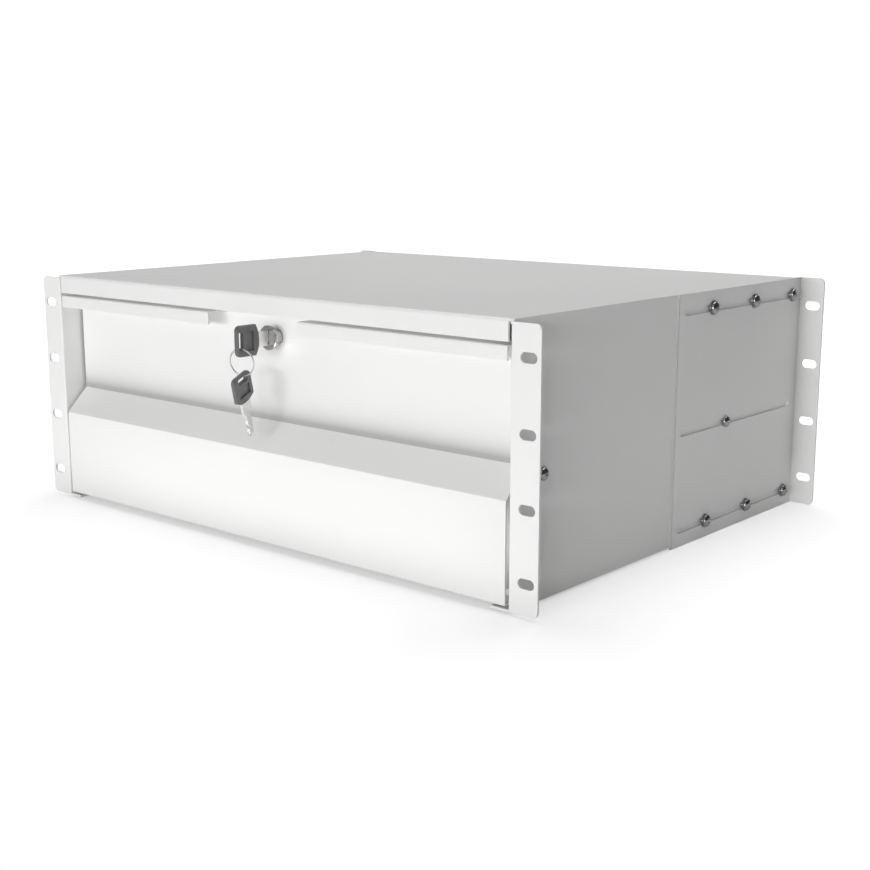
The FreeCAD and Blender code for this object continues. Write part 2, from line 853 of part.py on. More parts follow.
def slide_inner(side):
    """The channel on the drawer wall: its edges carry the inner ball rows from below."""
    near, low = inner_row
    web = s.slide_width - s.slide_sheet
    shoulder = low - lip_rise
    under = shoulder - s.slide_sheet
    reach = near + root(race_back * race_back - (low - under) * (low - under))
    upper = [
        (web, under), (reach, under),
        (near, low, race_back, -arc_angle(low - under, race_back), -180 + s.race_lip_angle),
        (near, low, race, -180 + s.race_lip_angle, -s.race_lip_angle),
        (s.slide_width, shoulder),
    ]
    body = slide_body(side_name("slide_inner", side), side, upper, s.slide_start, member_length)
    drill_web(body, drawer_screw_places, s.slide_screw_shank / 2 + s.thread_gap)
    return body


def drill_web(body, places, radius):
    holes = Drawing(body, "YZ_Plane")
    for along in places:
        holes.circle(along, 0, radius)
    holes.pocket_through()


def ball_cage(label, side, row, web, far):
    """A strip bent to a channel, with a hole for each ball: web is its back, far the end of its arms."""
    across, up = row
    half = s.cage_sheet / 2
    upper = [
        (web, up + half), (far, up + half), (far, up - half), (web + s.cage_sheet, up - half),
    ]
    body = slide_body(label, side, upper, cage_start, cage_length)
    hole = Drawing(body, "XY_Plane")
    hole.circle(across, cage_start + s.ball_margin, s.ball_radius + s.cage_hole_gap)
    cut = hole.pocket_through()
    pattern(body, [cut], ("Y_Axis", BALL_COUNT, cage_length - s.ball_margin * 2))
    return body


def ball_rows(label, side, row):
    """The balls of one cage, in two rows: each has a belt and two caps with flats inside the sphere."""
    across, up = row
    body = new_body(label)
    middle = cage_start + s.ball_margin
    belt_radius = s.ball_radius * cosine(FACET / 2)
    belt_half = s.ball_radius * sine(FACET / 2)
    belt = Drawing(body, "XY_Plane", -up)
    belt.polygon(0, middle, belt_radius, BALL_SIDES, FACET / 2)
    pieces = [belt.pad_both_ways(belt_half * 2)]
    for toward in (1, -1):
        cap = Drawing(body, "XY_Plane", toward * belt_half - up)
        cap.polygon(0, middle, belt_radius, BALL_SIDES, FACET / 2)
        pieces.append(cap.pad(belt_radius - belt_half, toward, CAP_NARROWING))
    pattern(
        body, pieces,
        ("Y_Axis", BALL_COUNT, cage_length - s.ball_margin * 2),
        ("Z_Axis", 2, up * 2),
    )
    place(body, across=side * (wall_inside - across), up=s.slide_level)
    return body


def slide_bumper(side):
    """The nylon block in the outer member that stops the drawer when it is shut."""
    body = new_body(side_name("slide_bumper", side))
    block = Drawing(body, "XZ_Plane", slide_end)
    low = -s.bumper_height / 2
    high = s.bumper_height / 2
    far = s.slide_width - s.slide_sheet
    block.outline([(s.slide_sheet, low), (far, low), (far, high), (s.slide_sheet, high)])
    block.pad(s.bumper_depth, toward=-1)
    place(body, across=side * wall_inside, up=s.slide_level, turn=slide_turn(side))
    return body


# Drawer

def drawer_front():
    """One folded sheet: lower panel, sloping ledge, recessed panel and the grips along the top."""
    body = new_body("drawer_front")
    sheet_thickness = s.drawer_sheet
    recess = s.recess_depth
    grip_lip_bottom = front_top - s.grip_lip_height
    offset = sheet_thickness * tangent(45 - s.ledge_angle / 2)
    section = Drawing(body, "YZ_Plane")
    section.outline([
        (s.front_return, front_bottom), (0, front_bottom), (0, ledge_front), (recess, ledge_back),
        (recess, front_top - sheet_thickness), (sheet_thickness, front_top - sheet_thickness),
        (sheet_thickness, grip_lip_bottom), (0, grip_lip_bottom), (0, front_top),
        (box_front, front_top), (box_front, ledge_back - offset),
        (sheet_thickness, ledge_front - offset), (sheet_thickness, front_bottom + sheet_thickness),
        (s.front_return, front_bottom + sheet_thickness),
    ])
    section.pad_both_ways(front_half * 2)
    notch = Drawing(body, "XY_Plane", front_top)
    notch.rectangle(-s.grip_gap_half, s.grip_gap_half, -sheet_thickness, recess)
    notch.pocket(front_top - grip_lip_bottom, toward=-1)
    lock_hole = Drawing(body, "XZ_Plane")
    lock_hole.circle(s.lock_across, lock_level, s.barrel_diameter / 2 + s.hole_gap)
    lock_hole.pocket_through()
    round_off(body, s.front_bend, [
        (0, 0, front_bottom), (0, 0, ledge_front), (0, recess, ledge_back), (0, 0, front_top),
    ])
    return body


def stud_places():
    """Where the studs on the back of the recessed panel stand, as (across, up)."""
    levels = (ledge_back + s.stud_over_ledge, box_top - s.stud_under_top)
    return [(side * (box_inside - s.stud_from_side), level) for side in (LEFT, RIGHT) for level in levels]


def drawer_box_front():
    body = new_body("drawer_box_front")
    plate = Drawing(body, "XZ_Plane", box_front)
    plate.rectangle(-box_inside, box_inside, floor_under, box_top)
    plate.pad(s.drawer_sheet)
    holes = Drawing(body, "XZ_Plane")
    holes.circle(s.lock_across, lock_level, s.barrel_diameter / 2 + s.hole_gap)
    holes.pocket_through()
    stud_holes = Drawing(body, "XZ_Plane")
    for across, up in stud_places():
        stud_holes.circle(across, up, s.stud_diameter / 2 + s.hole_gap)
    stud_holes.pocket_through()
    return body


def drawer_back():
    body = new_body("drawer_back")
    plate = Drawing(body, "XZ_Plane", box_back)
    plate.rectangle(-box_inside, box_inside, floor_under, box_top)
    plate.pad(s.drawer_sheet, toward=-1)
    return body


def drawer_bottom():
    body = new_body("drawer_bottom")
    plate = Drawing(body, "XY_Plane", floor_under)
    plate.rectangle(-box_inside, box_inside, box_front_back, box_back - s.drawer_sheet)
    plate.pad(s.drawer_sheet)
    return body


def drawer_side(side):
    """The wall that carries the slide, with a return under the bottom and a hem along the top."""
    body = new_body(side_name("drawer_side", side))
    outer, inner = side * drawer_wall, side * box_inside
    tip = side * (drawer_wall - s.box_return)
    hem = side * (box_inside - s.drawer_sheet)
    section = Drawing(body, "XZ_Plane", box_front)
    section.outline([
        (outer, box_bottom), (outer, box_top), (inner, box_top),
        (inner, floor_under), (tip, floor_under), (tip, box_bottom),
    ])
    section.pad(box_back - box_front)
    fold = Drawing(body, "XZ_Plane", box_front_back)
    fold.rectangle(hem, inner, box_top - s.box_hem, box_top)
    fold.pad(box_back - s.drawer_sheet - box_front_back)
    round_off(body, s.front_bend, [(1, outer, box_bottom)])
    holes = Drawing(body, "YZ_Plane")
    for along in drawer_screw_places:
        holes.circle(along, s.slide_level, s.slide_screw_shank / 2 + s.hole_gap)
    holes.pocket_through()
    return body


def slide_drawer_screws(side):
    """The screws from inside the drawer into the inner slide member, three in a line."""
    body = new_body(side_name("slide_drawer_screws", side))
    tip = s.drawer_sheet + s.slide_sheet + s.drawer_screw_tip
    profile = Drawing(body, "XY_Plane")
    pan_head_profile(
        profile, 0, tip, s.slide_screw_shank, s.drawer_screw_head, s.drawer_screw_head_height
    )
    made = profile.revolve("X_Axis")
    pattern(body, [made], ("Y_Axis", DRAWER_SCREWS, drawer_screw_run))
    place(
        body, across=side * box_inside, along=drawer_screw_first, up=s.slide_level,
        turn=half_turn_for(-side),
    )
    return body


def front_studs():
    body = new_body("front_studs")
    studs = Drawing(body, "XZ_Plane", box_front)
    for across, up in stud_places():
        studs.circle(across, up, s.stud_diameter / 2)
    studs.pad(s.stud_length)
    return body


def front_nuts():
    body = new_body("front_nuts")
    nuts = Drawing(body, "XZ_Plane", box_front_back)
    for across, up in stud_places():
        nuts.hexagon(across, up, s.stud_nut_flats)
        nuts.circle(across, up, s.stud_diameter / 2 + s.thread_gap)
    nuts.pad(s.stud_nut_height)
    return body


# Lock, drawn about the Y axis of its own parts

def lock_housing():
    body = new_body("lock_housing")
    bore = s.plug_diameter / 2 + s.running_gap
    barrel = s.barrel_diameter / 2
    rim = s.lock_head / 2
    chamfer = s.lock_head_thickness * HEAD_BEVEL
    neck = lock_face + s.lock_head_thickness
    profile = Drawing(body, "XY_Plane")
    profile.outline([
        (bore, lock_face), (rim - chamfer, lock_face), (rim, lock_face + chamfer), (rim, neck),
        (barrel, neck), (barrel, barrel_end), (bore, barrel_end),
    ])
    profile.revolve("Y_Axis")
    place(body, across=s.lock_across, up=lock_level)
    return body


def lock_nut():
    body = new_body("lock_nut")
    nut = Drawing(body, "XZ_Plane", box_front_back)
    nut.hexagon(0, 0, s.lock_nut_flats)
    nut.circle(0, 0, s.barrel_diameter / 2 + s.thread_gap)
    nut.pad(s.lock_nut_height)
    place(body, across=s.lock_across, up=lock_level)
    return body


def lock_plug():
    """The part that the key turns: keyway in front, square tail for the cam behind."""
    body = new_body("lock_plug")
    plug = Drawing(body, "XZ_Plane", lock_face)
    plug.circle(0, 0, s.plug_diameter / 2)
    plug.pad(cam_front - lock_face)
    tail = Drawing(body, "XZ_Plane", cam_front)
    half = s.tail_side / 2
    tail.rectangle(-half, half, -half, half)
    tail.pad(s.cam_sheet)
    keyway = Drawing(body, "XZ_Plane", lock_face)
    wide = s.blade_thickness / 2 + s.keyway_gap
    tall = s.blade_width / 2 + s.keyway_gap
    keyway.rectangle(-wide, wide, -tall, tall)
    keyway.pocket(s.blade_in_lock + s.keyway_end_gap)
    screw_hole = Drawing(body, "XZ_Plane", cam_back)
    screw_hole.circle(0, 0, s.cam_screw_shank / 2 + s.thread_gap)
    screw_hole.pocket(s.cam_screw_length + s.keyway_gap, toward=-1)
    place(body, across=s.lock_across, up=lock_level)
    return body


def lock_cam():
    """The arm that turns up behind the strike. It lies sideways while the lock is open."""
    body = new_body("lock_cam")
    width = s.cam_width / 2
    arm = Drawing(body, "XZ_Plane", cam_front)
    arm.outline([
        (0, 0, width, 90, 270), (s.cam_reach, 0, width, -90, 90),
    ])
    arm.pad(s.cam_sheet)
    hole = Drawing(body, "XZ_Plane")
    half = s.tail_side / 2 + s.thread_gap
    hole.rectangle(-half, half, -half, half)
    hole.pocket_through()
    place(body, across=s.lock_across, up=lock_level)
    return body


def cam_screw():
    body = new_body("cam_screw")
    height = s.cam_screw_head_height
    profile = Drawing(body, "XY_Plane")
    shank = s.cam_screw_shank / 2
    head = s.cam_screw_head / 2
    profile.outline([
        (0, cam_back - s.cam_screw_length), (shank, cam_back - s.cam_screw_length), (shank, cam_back),
        (head, cam_back), (head, cam_back + height / 2), (head - height / 2, cam_back + height),
        (0, cam_back + height),
    ])
    profile.revolve("Y_Axis")
    place(body, across=s.lock_across, up=lock_level)
    return body


# Keys, drawn about their own Y axis: the bow's end towards the lock is at zero, its free end in front

bow_half = s.bow_width / 2
slot_middle = -s.bow_length + s.bow_slot_from_end + s.bow_slot_width / 2
blade_root = lock_face + s.bow_start - s.shoulder_gap


def bow(label):
    """The moulded head: straight free end, bulged inner end, a slot for the ring and a sunk panel."""
    body = new_body(label)
    corner = s.bow_corner
    bulge_radius = (bow_half * bow_half + s.bow_bulge * s.bow_bulge) / (2 * s.bow_bulge)
    spread = arc_angle(bow_half, bulge_radius)
    head = Drawing(body, "YZ_Plane")
    head.outline([
        (-bulge_radius, 0, bulge_radius, -spread, spread),
        (-s.bow_length + corner, bow_half - corner, corner, 90, 180),
        (-s.bow_length + corner, -bow_half + corner, corner, 180, 270),
    ])
    head.pad_both_ways(s.bow_thickness)
    rim = [
        f"Edge{place_in_shape}"
        for place_in_shape, edge in enumerate(body.Tip.Shape.Edges, start=1)
        if abs(edge.Vertexes[0].X - edge.Vertexes[-1].X) < TOUCHING
    ]
    base = body.Tip
    bevel = body.newObject("PartDesign::Chamfer", f"{body.Name}_chamfer")
    bevel.Base = (base, rim)
    bevel.setExpression("Size", s.bow_edge.text)
    finished(body, bevel)
    ring_slot = Drawing(body, "YZ_Plane")
    ring_slot.rounded_slot(slot_middle, 0, s.bow_slot_width, s.bow_slot_length, s.bow_slot_corner)
    ring_slot.pocket_through()
    panel_start = -s.bow_length + s.bow_panel_from_end
    for side in (RIGHT, LEFT):
        panel = Drawing(body, "YZ_Plane", side * s.bow_thickness / 2)
        panel.rectangle(
            panel_start, panel_start + s.bow_panel_length, -s.bow_panel_width / 2, s.bow_panel_width / 2
        )
        panel.pocket(s.bow_panel_depth, toward=-side)
    tang_hole = Drawing(body, "XZ_Plane")
    wide = s.blade_thickness / 2 + s.thread_gap
    tall = s.tang_width / 2 + s.thread_gap
    tang_hole.rectangle(-wide, wide, -tall, tall)
    tang_hole.pocket(s.tang_length + s.thread_gap, toward=-1)
    return body


def blade(label):
    """The cut metal of a key: tang in the bow, shoulder, and a blade with bitting along its lower edge."""
    body = new_body(label)
    tip_end = blade_root + s.blade_in_lock
    tang, shoulder, half = s.tang_width / 2, s.shoulder_width / 2, s.blade_width / 2
    path = [
        (-s.tang_length, tang), (0, tang), (0, shoulder), (blade_root, shoulder), (blade_root, half),
        (tip_end - s.blade_tip, half), (tip_end, half - s.blade_tip), (tip_end - s.blade_tip / 2, -half),
    ]
    for cut in range(BITTING_CUTS):
        along = tip_end - s.blade_tip / 2 - s.bitting_pitch * (cut + 0.5)
        depth = s.shallow_bitting_depth if cut % 2 else s.bitting_depth
        path.append((along, -half + depth))
        path.append((along - s.bitting_pitch / 2, -half))
    path += [
        (blade_root, -half), (blade_root, -shoulder), (0, -shoulder), (0, -tang), (-s.tang_length, -tang),
    ]
    profile = Drawing(body, "YZ_Plane")
    profile.outline(path)
    profile.pad_both_ways(s.blade_thickness)
    return body


# The ring hangs in the inserted key's slot, and the spare key by the rear end of its own slot

ring_inside = s.ring_radius - s.ring_wire / 2
ring_drop = ring_inside - root(ring_inside * ring_inside - s.bow_thickness * s.bow_thickness / 4)
ring_seat = s.ring_wire / 2 + s.ring_seat_gap + ring_drop
ring_skew = s.bow_thickness / 2 * tangent(s.ring_twist)
ring_top_along = -s.bow_start + slot_middle + s.bow_slot_width / 2 - ring_seat - ring_skew
ring_top_level = lock_level - s.bow_slot_length / 2 + ring_seat
ring_slant = sine(s.ring_tilt) * s.ring_radius
ring_fall = cosine(s.ring_tilt) * s.ring_radius


def key_ring():
    ring = new_body("key_ring")
    wire = Drawing(ring, "XZ_Plane")
    wire.polygon(s.ring_radius, 0, s.ring_wire / 2, WIRE_SIDES, 180 / WIRE_SIDES)
    wire.revolve("Z_Axis")
    upright = FreeCAD.Rotation(FreeCAD.Vector(1, 0, 0), 90 + number(s.ring_tilt))
    twist = FreeCAD.Rotation(FreeCAD.Vector(0, 0, 1), number(s.ring_twist))
    across = s.lock_across - ring_slant * sine(s.ring_twist)
    along = ring_top_along + ring_slant * cosine(s.ring_twist)
    place(ring, across, along, ring_top_level - ring_fall, twist.multiply(upright))
    return ring


def hang_spare(body):
    """Hangs a piece of the spare key, drawn like the inserted one, from the bottom of the ring."""
    down = FreeCAD.Rotation(FreeCAD.Vector(1, 0, 0), -90 + number(s.spare_key_tilt))
    twist = FreeCAD.Rotation(FreeCAD.Vector(0, 0, 1), number(s.ring_twist))
    turn = twist.multiply(down)
    in_slot = FreeCAD.Vector(
        0,
        number(slot_middle - s.bow_slot_width / 2 + ring_seat),
        number(s.bow_slot_length / 2 - s.bow_slot_corner - s.ring_wire),
    )
    hanging = FreeCAD.Vector(
        number(s.lock_across - ring_slant * sine(s.ring_twist) * 2),
        number(ring_top_along + ring_slant * cosine(s.ring_twist) * 2),
        number(ring_top_level - ring_fall * 2),
    )
    body.Placement = FreeCAD.Placement(hanging - turn.multVec(in_slot), turn)


def keys():
    made = []
    for kind, label in ((bow, "key_bow"), (blade, "key_blade")):
        inserted = kind(label)
        place(inserted, across=s.lock_across, along=-s.bow_start, up=lock_level)
        spare = kind(f"spare_{label}")
        hang_spare(spare)
        made += [inserted, spare]
    return made


def build():
    """Every sub-part of the drawer."""
    parts = [top_cover(), rear_brace(), lock_strike()]
    parts.append(slide_case_screws("slide_front_screws", slide_screw_front, wall_outside))
    parts.append(slide_case_screws("slide_rear_screws", slide_screw_rear, bracket_face))
    outer_web = s.slide_sheet + (s.member_gap - s.cage_sheet) / 2
    outer_far = outer_row[0] + s.ball_radius + s.cage_hole_gap + s.cage_rim
    inner_web = outer_web + s.member_gap + s.slide_sheet + s.cage_sheet
    inner_far = inner_row[0] + s.ball_radius + s.cage_hole_gap + s.cage_rim
    for side in (RIGHT, LEFT):
        for piece in (
            side_panel, rear_bracket, bracket_screws, bracket_washers, bracket_nuts,
            slide_outer, slide_mid, slide_inner, slide_bumper, drawer_side, slide_drawer_screws,
        ):
            parts.append(piece(side))
        parts.append(ball_cage(side_name("ball_cage_outer", side), side, outer_row, outer_web, outer_far))
        parts.append(ball_cage(side_name("ball_cage_inner", side), side, inner_row, inner_web, inner_far))
        parts.append(ball_rows(side_name("balls_outer", side), side, outer_row))
        parts.append(ball_rows(side_name("balls_inner", side), side, inner_row))
    for piece in (
        drawer_front, drawer_box_front, drawer_back, drawer_bottom, front_studs, front_nuts,
        lock_housing, lock_nut, lock_plug, lock_cam, cam_screw, key_ring,
    ):
        parts.append(piece())
    return parts + keys()


def check(parts):
    """Stops before anything is written if an object failed or a shape isn't sound."""
    doc.recompute()
    for item in doc.Objects:
        if "Invalid" in item.State or "Error" in item.State:
            raise ValueError(f"{item.Name} failed: {item.State}")
    for part in parts:
        if part.Shape.isNull() or not part.Shape.isValid() or not part.Shape.Solids:
            raise ValueError(f"{part.Label} has no sound shape")


def write(parts):
    os.makedirs("parts", exist_ok=True)
    for part in parts:
        part.Shape.exportStep(f"parts/{part.Label}.step")


all_parts = build()
check(all_parts)
write(all_parts)
print(f"{len(all_parts)} sub-parts written")
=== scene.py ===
import json
import math

import bmesh
import bpy
from mathutils import Matrix, Vector


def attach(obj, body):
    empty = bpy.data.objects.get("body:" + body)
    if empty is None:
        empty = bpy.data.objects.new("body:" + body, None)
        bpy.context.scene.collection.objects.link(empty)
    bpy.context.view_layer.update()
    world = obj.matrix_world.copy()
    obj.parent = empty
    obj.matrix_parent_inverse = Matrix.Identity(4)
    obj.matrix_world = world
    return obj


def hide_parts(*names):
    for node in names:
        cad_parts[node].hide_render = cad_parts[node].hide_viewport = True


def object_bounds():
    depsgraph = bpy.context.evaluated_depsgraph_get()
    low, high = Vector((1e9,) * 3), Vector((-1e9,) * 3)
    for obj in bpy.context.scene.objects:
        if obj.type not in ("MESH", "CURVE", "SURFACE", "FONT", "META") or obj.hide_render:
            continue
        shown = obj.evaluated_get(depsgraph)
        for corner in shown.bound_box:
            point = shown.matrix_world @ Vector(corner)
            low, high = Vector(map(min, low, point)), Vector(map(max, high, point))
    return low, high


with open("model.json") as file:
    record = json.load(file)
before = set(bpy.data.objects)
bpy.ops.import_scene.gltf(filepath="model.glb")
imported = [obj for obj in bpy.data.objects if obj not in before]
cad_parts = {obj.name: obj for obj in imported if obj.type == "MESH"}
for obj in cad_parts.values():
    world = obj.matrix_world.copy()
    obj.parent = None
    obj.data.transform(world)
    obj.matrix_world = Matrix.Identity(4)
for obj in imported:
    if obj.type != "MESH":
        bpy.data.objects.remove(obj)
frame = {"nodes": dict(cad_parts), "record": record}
cad_box = [list(corner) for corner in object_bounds()]

MM = 0.001
RIGHT = 1
LEFT = -1
MIDDLE = Vector((0.0, 0.0, 0.0))
FLOOR_LEVEL = cad_box[0][2]

# The drawer front's inside corner, above the crease between ledge and recessed panel: painted shade
# darkens the coat there
CREASE_LEVEL = -0.001
CREASE_SHADE_FULL = 0.0026
CREASE_SHADE_REACH = 0.007

# A rear bracket's inside corner, between plate and ear, and the way from it to the cut front edge: painted
# shade darkens the coat by the corner and on that edge
FOLD_ACROSS = 0.2227
FOLD_ALONG = 0.358
FOLD_SKIN = 0.0002
FOLD_SHADE_FULL = 0.0006
FOLD_SHADE_REACH = 0.008
FOLD_FOOT = (-0.088, -0.045)
FOOT_SHADE_SHARE = 0.2
FOLD_TO_EDGE = 0.1778


# Materials

class Nodes:
    """A material's node tree, with short ways to add and wire nodes."""

    def __init__(self, name):
        self.material = bpy.data.materials.new(name)
        self.material.use_nodes = True
        self.tree = self.material.node_tree
        self.shader = self.tree.nodes["Principled BSDF"]
        self.place = self.add("ShaderNodeTexCoord").outputs["Object"]

    def add(self, kind, **values):
        node = self.tree.nodes.new(kind)
        for key, value in values.items():
            setattr(node, key, value)
        return node

    def wire(self, source, target):
        self.tree.links.new(source, target)

    def finish(self, colour, roughness, metallic=0.0):
        self.wire(colour, self.shader.inputs["Base Color"])
        self.wire(roughness, self.shader.inputs["Roughness"])
        self.shader.inputs["Metallic"].default_value = metallic

    def noise(self, scale, detail=3.0, stretch=None):
        texture = self.add("ShaderNodeTexNoise")
        texture.inputs["Scale"].default_value = scale
        texture.inputs["Detail"].default_value = detail
        source = self.place
        if stretch:
            mapping = self.add("ShaderNodeMapping")
            mapping.inputs["Scale"].default_value = stretch
            self.wire(source, mapping.inputs["Vector"])
            source = mapping.outputs["Vector"]
        self.wire(source, texture.inputs["Vector"])
        return texture.outputs["Fac"]

    def remap(self, source, low, high, start=0.35, end=0.65):
        ramp = self.add("ShaderNodeMapRange")
        ramp.inputs["From Min"].default_value = start
        ramp.inputs["From Max"].default_value = end
        ramp.inputs["To Min"].default_value = low
        ramp.inputs["To Max"].default_value = high
        self.wire(source, ramp.inputs["Value"])
        return ramp.outputs["Result"]

    def blend(self, factor, first, second):
        mix = self.add("ShaderNodeMix", data_type="RGBA")
        self.wire(factor, mix.inputs["Factor"])
        for socket, value in ((mix.inputs["A"], first), (mix.inputs["B"], second)):
            if isinstance(value, tuple):
                socket.default_value = (*value, 1.0)
            else:
                self.wire(value, socket)
        return mix.outputs["Result"]

    def combine(self, operation, first, second=None):
        node = self.add("ShaderNodeMath", operation=operation)
        for socket, value in zip(node.inputs, (first, second)):
            if isinstance(value, float):
                socket.default_value = value
            elif value:
                self.wire(value, socket)
        return node.outputs["Value"]

    def axes(self):
        split = self.add("ShaderNodeSeparateXYZ")
        self.wire(self.place, split.inputs["Vector"])
        return split.outputs

    def fade(self, distance, full, reach):
        """1 up to the full distance, then fading out over the reach."""
        past = self.combine("MAXIMUM", self.combine("SUBTRACT", distance, full), 0.0)
        return self.combine("EXPONENT", self.combine("DIVIDE", past, -reach))

    def painted_crease_shade(self):
        """Painted shade at the drawer front's inside corner: from the ledge's crease upwards."""
        over = self.combine("SUBTRACT", self.axes()["Z"], CREASE_LEVEL)
        fade = self.fade(over, CREASE_SHADE_FULL, CREASE_SHADE_REACH)
        return self.combine("MULTIPLY", fade, self.combine("GREATER_THAN", over, 0.0))

    def painted_fold_and_edge_shade(self):
        """Painted shade by a bracket's inside corner, less at its foot, and on its cut front edge."""
        axes = self.axes()
        across = self.combine("SUBTRACT", self.combine("ABSOLUTE", axes["X"]), FOLD_ACROSS)
        along = self.combine("SUBTRACT", axes["Y"], FOLD_ALONG)
        squares = [self.combine("MULTIPLY", side, side) for side in (across, along)]
        distance = self.combine("SQRT", self.combine("ADD", *squares))
        in_front = self.combine("LESS_THAN", along, FOLD_SKIN)
        fade = self.combine("MULTIPLY", self.fade(distance, FOLD_SHADE_FULL, FOLD_SHADE_REACH), in_front)
        fade = self.combine("MULTIPLY", fade, self.remap(axes["Z"], FOOT_SHADE_SHARE, 1.0, *FOLD_FOOT))
        return self.combine("MAXIMUM", fade, self.combine("LESS_THAN", along, -FOLD_TO_EDGE))

    def bump(self, height, strength, distance):
        bump = self.add("ShaderNodeBump")
        bump.inputs["Strength"].default_value = strength
        bump.inputs["Distance"].default_value = distance
        self.wire(height, bump.inputs["Height"])
        previous = self.shader.inputs["Normal"].links
        if previous:
            self.wire(previous[0].from_socket, bump.inputs["Normal"])
        self.wire(bump.outputs["Normal"], self.shader.inputs["Normal"])


def powder_coat(name, painted_shade_place=None, painted_shade_grey=0.42):
    """White powder coat: a fine orange peel, and broad variation too faint to see as blotches.

    Where a place is given, painted shade greys the coat there, in inside corners and on cut edges.
    """
    m = Nodes(name)
    tint = m.remap(m.noise(9.0), 0.0, 1.0)
    white = m.blend(tint, (0.875, 0.875, 0.870), (0.89, 0.89, 0.882))
    if painted_shade_place:
        # Painted shade: the coat turns grey where the place's mask is 1
        white = m.blend(painted_shade_place(m), white, (painted_shade_grey, painted_shade_grey, painted_shade_grey * 0.99))
    m.finish(white, m.remap(m.noise(700.0, 2.0), 0.36, 0.46))
    m.bump(m.noise(950.0, 2.0), 0.10, 0.0002)
    m.bump(m.noise(2600.0, 1.0), 0.06, 0.0001)
    return m.material


def zinc_sheet():
    """Cold-rolled zinc-plated strip with long drawing marks."""
    m = Nodes("zinc_sheet")
    grain = m.noise(160.0, 4.0, (40.0, 1.0, 40.0))
    colour = m.blend(m.remap(grain, 0.0, 1.0), (0.42, 0.44, 0.48), (0.62, 0.64, 0.68))
    m.finish(colour, m.remap(m.noise(300.0), 0.24, 0.40), metallic=1.0)
    m.bump(grain, 0.15, 0.00005)
    return m.material


def nickel(name, dark, light, low, high):
    """Satin nickel with fine scratches."""
    m = Nodes(name)
    scratches = m.noise(500.0, 6.0, (1.0, 0.15, 6.0))
    colour = m.blend(m.remap(scratches, 0.0, 1.0), dark, light)
    m.finish(colour, m.remap(m.noise(260.0), low, high), metallic=1.0)
    m.bump(scratches, 0.12, 0.00004)
    return m.material


def grained(name, dark, light, tint_scale, gloss_scale, low, high, metallic=0.0, grain=None):
    """A finish whose colour and roughness vary finely, with a bumpy grain or without."""
    m = Nodes(name)
    colour = m.blend(m.remap(m.noise(tint_scale), 0.0, 1.0), dark, light)
    m.finish(colour, m.remap(m.noise(gloss_scale), low, high), metallic)
    if grain:
        m.bump(m.noise(grain["scale"], grain["detail"]), grain["strength"], grain["height"])
    return m.material


def studio_floor():
    """White paper: to the camera it glows up to the white backdrop, and keeps the object's shadow."""
    m = Nodes("studio_floor")
    tint = m.remap(m.noise(2.0), 0.0, 1.0)
    paper = m.blend(tint, (0.90, 0.90, 0.90), (0.91, 0.91, 0.91))
    m.finish(paper, m.remap(m.noise(6.0), 0.85, 0.95))
    distance = m.add("ShaderNodeVectorMath", operation="LENGTH")
    m.wire(m.place, distance.inputs[0])
    glow = m.add("ShaderNodeEmission")
    dim, bright, near, far = 0.42, 1.0, 0.45, 1.1
    m.wire(m.remap(distance.outputs["Value"], dim, bright, near, far), glow.inputs["Strength"])
    paths = m.add("ShaderNodeLightPath")
    unseen = m.add("ShaderNodeEmission")
    unseen.inputs["Strength"].default_value = 0.0
    glow_to_camera = m.add("ShaderNodeMixShader")
    m.wire(paths.outputs["Is Camera Ray"], glow_to_camera.inputs["Fac"])
    m.wire(unseen.outputs["Emission"], glow_to_camera.inputs[1])
    m.wire(glow.outputs["Emission"], glow_to_camera.inputs[2])
    both = m.add("ShaderNodeAddShader")
    m.wire(m.shader.outputs["BSDF"], both.inputs[0])
    m.wire(glow_to_camera.outputs["Shader"], both.inputs[1])
    m.wire(both.outputs["Shader"], m.tree.nodes["Material Output"].inputs["Surface"])
    return m.material


finishes = {
    "powder_coat": powder_coat("powder_coat"),
    # Dark bright-dipped plating
    "screw_steel": grained(
        "screw_steel", (0.34, 0.34, 0.35), (0.42, 0.42, 0.43), 420.0, 900.0, 0.07, 0.12, metallic=1.0,
        grain={"scale": 1500.0, "detail": 3.0, "strength": 0.02, "height": 0.00002},
    ),
    "slide_steel": zinc_sheet(),
    "ball_steel": grained(
        "ball_steel", (0.62, 0.63, 0.66), (0.72, 0.73, 0.76), 300.0, 900.0, 0.08, 0.14, metallic=1.0,
    ),
    "bumper_nylon": grained(
        "bumper_nylon", (0.02, 0.02, 0.022), (0.04, 0.04, 0.043), 90.0, 400.0, 0.45, 0.60,
        grain={"scale": 1200.0, "detail": 3.0, "strength": 0.2, "height": 0.0001},
    ),
    "lock_nickel": nickel("lock_nickel", (0.44, 0.43, 0.42), (0.56, 0.55, 0.53), 0.16, 0.28),
    # Black moulded plastic with a spark-eroded grain
    "key_plastic": grained(
        "key_plastic", (0.125, 0.125, 0.128), (0.160, 0.160, 0.164), 120.0, 800.0, 0.34, 0.46,
        grain={"scale": 2200.0, "detail": 2.0, "strength": 0.25, "height": 0.0001},
    ),
}
